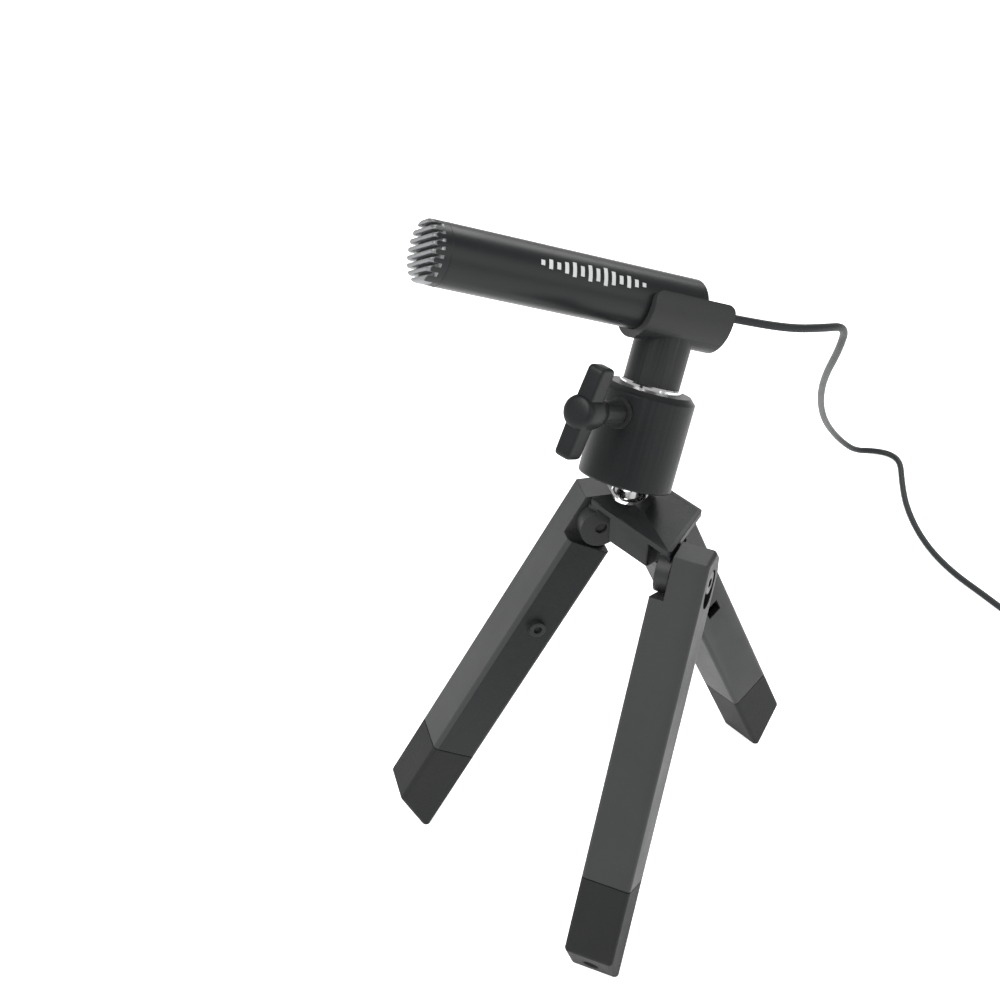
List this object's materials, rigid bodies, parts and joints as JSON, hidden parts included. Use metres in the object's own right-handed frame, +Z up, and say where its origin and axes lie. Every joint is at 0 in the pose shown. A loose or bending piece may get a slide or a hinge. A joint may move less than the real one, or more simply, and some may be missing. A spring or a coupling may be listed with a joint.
{
  "type": "clip microphone on a pocket tripod",
  "caption": "Slim cylindrical microphone in an open snap clip on a ball head with a wing clamp knob, standing on a folding pocket tripod with rubber feet, with a thin lead to a jack plug.",
  "frame": {"origin": "on the floor, under the middle of the object's own box (lead left out)", "axes": "+Z up; -Y towards the side the object is looked at from; the microphone points towards -X and up"},
  "size_m": [0.2209, 0.2353, 0.1717],
  "materials": {
    "black_plastic": "fine matt moulded texture",
    "satin_black": "satin anodised black, faint mark printed in light grey",
    "grille_metal": "satin metallic grey",
    "mesh_cloth": "fine black mesh",
    "capsule_metal": "plain",
    "circuit_board": "green lacquer",
    "chrome": "polished",
    "steel_screw": "bright zinc plated",
    "foot_rubber": "matt",
    "washer_plastic": "natural white",
    "brake_plastic": "natural white",
    "cord_rubber": "smooth soft dark grey",
    "plug_metal": "nickel plated",
    "plug_insulator": "glossy black"
  },
  "bodies": {
    "head": {"head_housing": "black_plastic", "ball_seat": "steel_screw", "brake_cup": "brake_plastic", "camera_screw": "chrome", "mic_clip": "black_plastic", "cord_run": "cord_rubber", "cord_coil": "cord_rubber", "plug_boot": "cord_rubber", "plug_housing": "black_plastic", "plug_sleeve": "plug_metal", "plug_ring": "plug_metal", "plug_insulators": "plug_insulator", "plug_tip": "plug_metal"},
    "microphone": {"mic_barrel": "satin_black", "grille_cap": "grille_metal", "grille_mesh": "mesh_cloth", "capsule": "capsule_metal", "capsule_holder": "foot_rubber", "circuit_board": "circuit_board", "rear_cap": "satin_black", "cord_boot": "cord_rubber"},
    "clamp_knob": {"wing_knob": "black_plastic", "knob_screw": "satin_black"},
    "ball_stud": {"ball_stud": "chrome"},
    "tripod_hub": {"tripod_hub": "black_plastic", "friction_washers": "washer_plastic", "hinge_screw_front": "steel_screw", "hinge_screw_right": "steel_screw", "hinge_screw_left": "steel_screw"},
    "leg_front": {"leg_front_shell": "black_plastic", "leg_front_foot": "foot_rubber", "leg_front_foot_screw": "steel_screw"},
    "leg_right": {"leg_right_shell": "black_plastic", "leg_right_foot": "foot_rubber", "leg_right_foot_screw": "steel_screw"},
    "leg_left": {"leg_left_shell": "black_plastic", "leg_left_foot": "foot_rubber", "leg_left_foot_screw": "steel_screw"}
  },
  "joints": [
    {"name": "head_tilt", "type": "hinge", "parent": "head", "child": "ball_stud", "pos_m": [0.00373, 0.01493, 0.114], "axis": [-0.8763, 0.4818, 0], "range_deg": [-3.5, 56.5]},
    {"name": "head_pan", "type": "hinge", "parent": "ball_stud", "child": "tripod_hub", "pos_m": [0.00373, 0.01493, 0.0978], "axis": [0, 0, 1], "continuous": true},
    {"name": "mic_slide", "type": "slide", "parent": "head", "child": "microphone", "axis": [-0.8903, -0.2981, 0.3441], "range_m": [-0.005, 0.008], "deforming": ["cord_run"]},
    {"name": "knob_turn", "type": "hinge", "parent": "head", "child": "clamp_knob", "pos_m": [0.00539, 0.01794, 0.12089], "axis": [-0.562, -0.6999, 0.4408], "range_deg": [-270, 0]},
    {"name": "leg_front_fold", "type": "hinge", "parent": "tripod_hub", "child": "leg_front", "pos_m": [0.01651, -0.00325, 0.0906], "axis": [-0.9235, 0.3835, 0], "range_deg": [-27.85, 0]},
    {"name": "leg_right_fold", "type": "hinge", "parent": "tripod_hub", "child": "leg_right", "pos_m": [0.01235, 0.0137, 0.0906], "axis": [0.6665, -0.7455, 0], "range_deg": [-27.85, 0]},
    {"name": "leg_left_fold", "type": "hinge", "parent": "tripod_hub", "child": "leg_left", "pos_m": [-0.00402, 0.01971, 0.0906], "axis": [-0.2782, 0.9605, 0], "range_deg": [-27.85, 0]}
  ]
}
